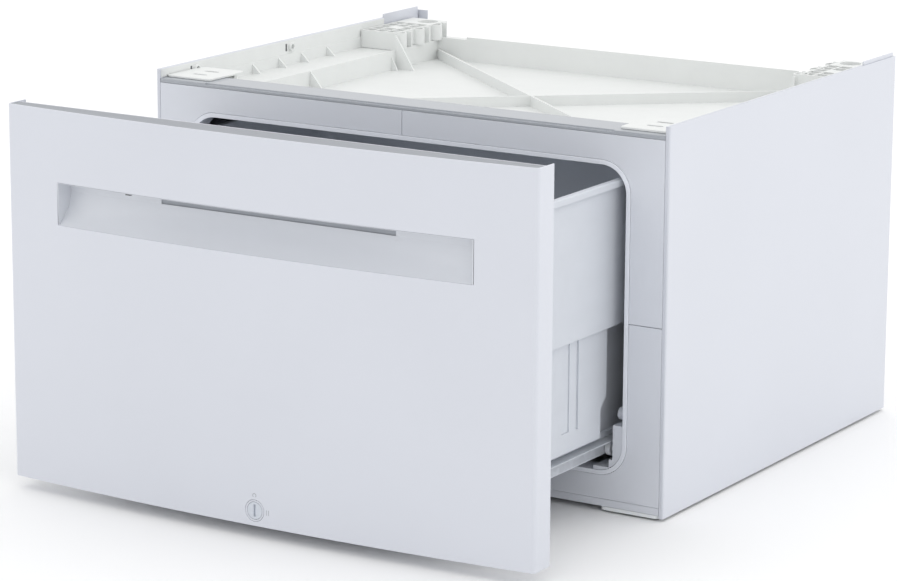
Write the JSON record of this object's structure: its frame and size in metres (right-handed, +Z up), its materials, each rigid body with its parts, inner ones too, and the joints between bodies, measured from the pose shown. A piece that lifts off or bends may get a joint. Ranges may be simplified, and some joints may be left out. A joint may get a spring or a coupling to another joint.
{
  "type": "laundry pedestal with drawer",
  "caption": "Low steel stand that a front-loading washing machine sits on, with one wide pull-out drawer on roller slides, a grip recess and a quarter-turn lock.",
  "frame": {"origin": "on the floor, at the middle of the bounding box with the drawer part open as it is at rest", "axes": "+X to the right seen from the front, +Y to the back, +Z up; the drawer pulls out along -Y"},
  "size_m": [0.6, 0.757, 0.392],
  "materials": {
    "painted_white": "glossy stove enamel, cool white",
    "cover_white": "semi-gloss, cool white",
    "rail_grey": "semi-gloss light grey",
    "grip_white": "glossy, to match the drawer front",
    "cap_grey": "satin grey",
    "tray_white": "fine-grained moulding",
    "tub_grey": "satin moulding, light grey",
    "zinc_steel": "zinc-plated sheet",
    "bracket_white": "satin white",
    "roller_white": "smooth nylon-like white",
    "shoe_grey": "matt grey",
    "rubber_grey": "matt rubber",
    "lock_grey": "smooth light grey"
  },
  "bodies": {
    "cabinet": {"cabinet_slide_left": "zinc_steel", "cabinet_slide_right": "zinc_steel", "front_base_rail": "cover_white", "front_cover_lower_left": "cover_white", "front_cover_lower_right": "cover_white", "front_cover_upper_left": "cover_white", "front_cover_upper_right": "cover_white", "front_foot_pad_left": "rubber_grey", "front_foot_pad_right": "rubber_grey", "front_machine_support_left": "tray_white", "front_machine_support_right": "tray_white", "front_post_left": "zinc_steel", "front_post_right": "zinc_steel", "front_shoe_left": "shoe_grey", "front_shoe_right": "shoe_grey", "front_top_rail": "rail_grey", "guide_bracket_left": "bracket_white", "guide_bracket_right": "bracket_white", "opening_liner": "bracket_white", "rear_base_rail": "zinc_steel", "rear_foot_pad_left": "rubber_grey", "rear_foot_pad_right": "rubber_grey", "rear_machine_support_left": "tray_white", "rear_machine_support_right": "tray_white", "rear_panel": "painted_white", "rear_post_left": "zinc_steel", "rear_post_right": "zinc_steel", "rear_shoe_left": "shoe_grey", "rear_shoe_right": "shoe_grey", "rear_stop_tab_left": "zinc_steel", "rear_stop_tab_right": "zinc_steel", "side_base_rail_left": "zinc_steel", "side_base_rail_right": "zinc_steel", "side_panel_left": "painted_white", "side_panel_right": "painted_white", "side_peg_left": "bracket_white", "side_peg_right": "bracket_white", "slide_bracket_left": "zinc_steel", "slide_bracket_right": "zinc_steel", "top_tray": "tray_white"},
    "drawer": {"drawer_front": "painted_white", "drawer_slide_left": "zinc_steel", "drawer_slide_right": "zinc_steel", "drawer_tub": "tub_grey", "front_inner_panel": "painted_white", "front_top_cap": "cap_grey", "grip_recess": "grip_white", "lock_housing": "lock_grey", "lower_bumper_left": "rubber_grey", "lower_bumper_right": "rubber_grey", "upper_bumper_left": "rubber_grey", "upper_bumper_right": "rubber_grey"},
    "lock": {"lock_barrel": "lock_grey", "lock_cam": "zinc_steel", "lock_nut": "zinc_steel"},
    "front_left_roller": {"front_roller_left": "roller_white"},
    "front_right_roller": {"front_roller_right": "roller_white"},
    "rear_left_roller": {"rear_roller_left": "roller_white"},
    "rear_right_roller": {"rear_roller_right": "roller_white"}
  },
  "joints": [
    {"name": "drawer_slide", "type": "slide", "parent": "cabinet", "child": "drawer", "axis": [0, -1, 0], "range_m": [-0.213, 0.147]},
    {"name": "lock_turn", "type": "hinge", "parent": "drawer", "child": "lock", "pos_m": [0, -0.3365, 0.028], "axis": [0, 1, 0], "range_deg": [0, 90]},
    {"name": "front_left_roller_spin", "type": "hinge", "parent": "cabinet", "child": "front_left_roller", "pos_m": [-0.234, -0.1075, 0.063], "axis": [1, 0, 0], "range_deg": [-1440, 1000]},
    {"name": "front_right_roller_spin", "type": "hinge", "parent": "cabinet", "child": "front_right_roller", "pos_m": [0.234, -0.1075, 0.063], "axis": [1, 0, 0], "range_deg": [-1440, 1000]},
    {"name": "rear_left_roller_spin", "type": "hinge", "parent": "drawer", "child": "rear_left_roller", "pos_m": [-0.234, 0.0916, 0.063], "axis": [1, 0, 0], "range_deg": [-1440, 1000]},
    {"name": "rear_right_roller_spin", "type": "hinge", "parent": "drawer", "child": "rear_right_roller", "pos_m": [0.234, 0.0916, 0.063], "axis": [1, 0, 0], "range_deg": [-1440, 1000]}
  ],
  "couplings": [
    {"joint": "front_left_roller_spin", "follows": "drawer_slide", "rad_per_m": 117.65},
    {"joint": "front_right_roller_spin", "follows": "drawer_slide", "rad_per_m": 117.65},
    {"joint": "rear_left_roller_spin", "follows": "drawer_slide", "rad_per_m": 117.65},
    {"joint": "rear_right_roller_spin", "follows": "drawer_slide", "rad_per_m": 117.65}
  ]
}
